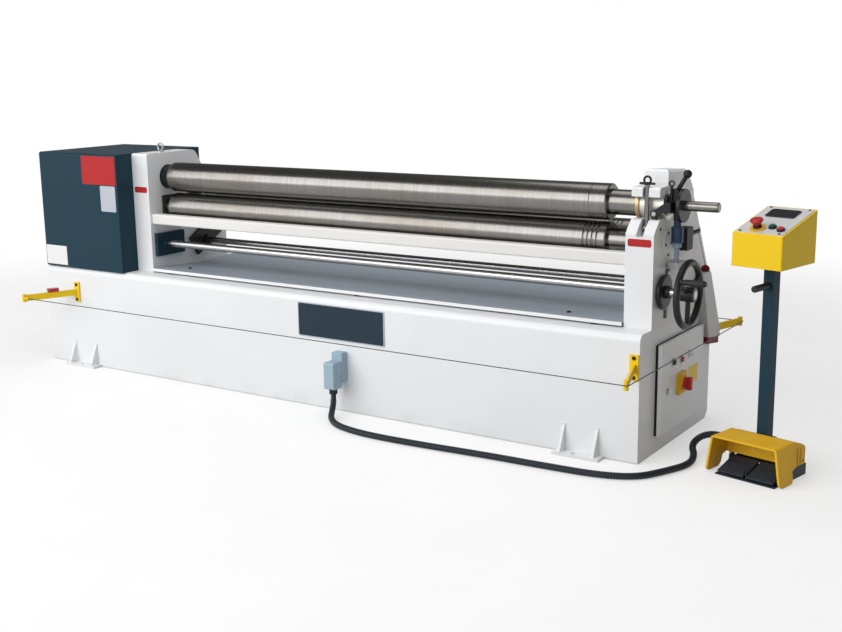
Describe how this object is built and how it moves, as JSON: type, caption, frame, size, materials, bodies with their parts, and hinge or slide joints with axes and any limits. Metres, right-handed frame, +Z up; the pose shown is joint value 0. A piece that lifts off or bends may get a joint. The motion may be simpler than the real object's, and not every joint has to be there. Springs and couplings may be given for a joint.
{
  "type": "plate rolling machine",
  "caption": "Three-roll plate bending machine on a welded bed, with geared rolls, a drop end, a handwheel, a trip wire and a loose foot-switch console",
  "frame": {"origin": "on the floor, at the centre of the bed and of its foundation bolts", "axes": "+X along the rolls towards the drop end, +Y to the rear, +Z up"},
  "size_m": [4.0447, 1.3284, 1.183],
  "materials": {
    "white_paint": "satin",
    "teal_paint": "satin",
    "grey_paint": "satin",
    "tray_paint": "satin",
    "yellow_paint": "satin",
    "yellow_plastic": "satin",
    "red_plastic": "gloss",
    "green_plastic": "gloss",
    "black_plastic": "matte",
    "grey_plastic": "satin",
    "panel_grey": "satin",
    "roll_steel": "polished",
    "bright_steel": "satin",
    "black_iron": "satin",
    "gear_iron": "matte",
    "bronze": "satin",
    "blue_paint": "satin",
    "gasket_rubber": "matte",
    "conduit_plastic": "satin",
    "panel_black": "satin",
    "wire_steel": "satin"
  },
  "bodies": {
    "machine": {"base_bed": "white_paint", "name_panel": "panel_black", "left_frame": "white_paint", "right_frame": "white_paint", "front_tie_beam": "white_paint", "chip_tray": "tray_paint", "drive_cover": "teal_paint", "left_bearing": "black_iron", "right_bush": "bronze", "drive_gearmotor": "gear_iron", "lift_gearmotor": "gear_iron", "shaft_brackets": "teal_paint", "pivot_pins": "bright_steel", "tail_yoke": "black_iron", "lift_cylinder": "blue_paint", "safety_switches": "black_plastic", "rear_post": "grey_paint", "red_fittings": "red_plastic", "frame_plates": "grey_paint", "trip_arms": "yellow_paint", "trip_wire": "wire_steel", "fixed_screws": "black_iron", "cabinet_panel": "grey_plastic", "door_gasket": "gasket_rubber", "cabinet_door": "white_paint", "door_fittings": "yellow_plastic", "connector_base": "grey_plastic", "connector_hood": "grey_plastic", "control_conduit": "conduit_plastic", "pedal_base": "black_plastic", "pedal_guard": "yellow_plastic", "console_post": "teal_paint", "console_box": "yellow_paint", "console_panel": "panel_grey", "estop_base": "yellow_plastic"},
    "top_roll_body": {"top_roll": "roll_steel", "top_roll_gear": "gear_iron"},
    "lower_carriage": {"lower_blocks": "gear_iron"},
    "lower_roll_body": {"lower_roll": "roll_steel", "lower_roll_gear": "gear_iron"},
    "rear_carriage": {"rear_blocks": "gear_iron"},
    "rear_roll_body": {"rear_roll": "roll_steel"},
    "handwheel_shaft": {"front_shaft": "bright_steel", "handwheel": "black_iron", "dial_disc": "black_iron"},
    "grip": {"handwheel_grip": "black_plastic"},
    "rear_shaft_body": {"rear_shaft": "bright_steel"},
    "cap": {"bearing_cap": "white_paint"},
    "bolt": {"swing_bolt": "bright_steel"},
    "nut": {"clamp_nut": "black_iron"},
    "lever": {"release_lever": "black_iron"},
    "switch_handle": {"main_switch_handle": "red_plastic"},
    "start_button": {"door_button_black": "black_plastic"},
    "stop_button": {"door_button_red": "red_plastic"},
    "lock": {"door_lock": "bright_steel"},
    "estop": {"estop_head": "red_plastic"},
    "panel_button_a": {"console_button_a": "green_plastic"},
    "panel_button_b": {"console_button_b": "red_plastic"},
    "left_pedal": {"pedal_left": "black_plastic"},
    "right_pedal": {"pedal_right": "black_plastic"}
  },
  "joints": [
    {"name": "top_roll_spin", "type": "hinge", "parent": "machine", "child": "top_roll_body", "pos_m": [0, -0.133, 1.01], "axis": [1, 0, 0], "continuous": true},
    {"name": "handwheel_turn", "type": "hinge", "parent": "machine", "child": "handwheel_shaft", "pos_m": [0, -0.188, 0.668], "axis": [1, 0, 0], "range_deg": [-960, 2640]},
    {"name": "grip_spin", "type": "hinge", "parent": "handwheel_shaft", "child": "grip", "pos_m": [1.9, -0.29485, 0.73477], "axis": [1, 0, 0], "continuous": true},
    {"name": "lower_lift", "type": "slide", "parent": "machine", "child": "lower_carriage", "axis": [0, 0, 1], "range_m": [-0.011, 0.004]},
    {"name": "lower_roll_spin", "type": "hinge", "parent": "lower_carriage", "child": "lower_roll_body", "pos_m": [0, -0.133, 0.854], "axis": [1, 0, 0], "continuous": true},
    {"name": "rear_shaft_turn", "type": "hinge", "parent": "machine", "child": "rear_shaft_body", "pos_m": [0, 0.117, 0.646], "axis": [1, 0, 0], "range_deg": [-1800, 6300]},
    {"name": "rear_lift", "type": "slide", "parent": "machine", "child": "rear_carriage", "axis": [0, -0.5, 0.866], "range_m": [-0.03, 0.105]},
    {"name": "rear_roll_spin", "type": "hinge", "parent": "rear_carriage", "child": "rear_roll_body", "pos_m": [0, 0.092, 0.838], "axis": [1, 0, 0], "continuous": true},
    {"name": "cap_open", "type": "hinge", "parent": "machine", "child": "cap", "pos_m": [1.665, 0.112, 1.036], "axis": [-1, 0, 0], "range_deg": [0, 20]},
    {"name": "bolt_swing", "type": "hinge", "parent": "machine", "child": "bolt", "pos_m": [1.665, -0.213, 0.922], "axis": [1, 0, 0], "range_deg": [0, 95]},
    {"name": "nut_screw", "type": "slide", "parent": "bolt", "child": "nut", "axis": [0, 0, 1], "range_m": [-0.006, 0.004]},
    {"name": "lever_release", "type": "hinge", "parent": "machine", "child": "lever", "pos_m": [1.757, -0.133, 1.064], "axis": [0, 1, 0], "range_deg": [-25, 5]},
    {"name": "main_switch_turn", "type": "hinge", "parent": "machine", "child": "switch_handle", "pos_m": [1.78, -0.018, 0.257], "axis": [1, 0, 0], "range_deg": [0, 90]},
    {"name": "start_press", "type": "slide", "parent": "machine", "child": "start_button", "axis": [-1, 0, 0], "range_m": [0, 0.005], "stiffness_N_per_m": 600},
    {"name": "stop_press", "type": "slide", "parent": "machine", "child": "stop_button", "axis": [-1, 0, 0], "range_m": [0, 0.005], "stiffness_N_per_m": 600},
    {"name": "lock_turn", "type": "hinge", "parent": "machine", "child": "lock", "pos_m": [1.75, -0.153, 0.249], "axis": [1, 0, 0], "range_deg": [0, 90]},
    {"name": "estop_press", "type": "slide", "parent": "machine", "child": "estop", "axis": [0.059, 0.2774, -0.9589], "range_m": [0, 0.005], "stiffness_N_per_m": 1500},
    {"name": "panel_a_press", "type": "slide", "parent": "machine", "child": "panel_button_a", "axis": [0.059, 0.2774, -0.9589], "range_m": [0, 0.004], "stiffness_N_per_m": 600},
    {"name": "panel_b_press", "type": "slide", "parent": "machine", "child": "panel_button_b", "axis": [0.059, 0.2774, -0.9589], "range_m": [0, 0.004], "stiffness_N_per_m": 600},
    {"name": "left_pedal_press", "type": "hinge", "parent": "machine", "child": "left_pedal", "pos_m": [2.16929, -0.24415, 0.044], "axis": [0.9781, -0.2079, 0], "range_deg": [0, 3.5], "stiffness_Nm_per_rad": 6, "springref_deg": -11.46},
    {"name": "right_pedal_press", "type": "hinge", "parent": "machine", "child": "right_pedal", "pos_m": [2.16929, -0.24415, 0.044], "axis": [0.9781, -0.2079, 0], "range_deg": [0, 3.5], "stiffness_Nm_per_rad": 6, "springref_deg": -11.46}
  ],
  "couplings": [
    {"joint": "lower_roll_spin", "follows": "top_roll_spin", "ratio": -1},
    {"joint": "handwheel_turn", "follows": "lower_lift", "rad_per_m": -4188.8},
    {"joint": "rear_shaft_turn", "follows": "rear_lift", "rad_per_m": 1047.2},
    {"joint": "bolt_swing", "follows": "cap_open", "ratio": 4.75}
  ]
}
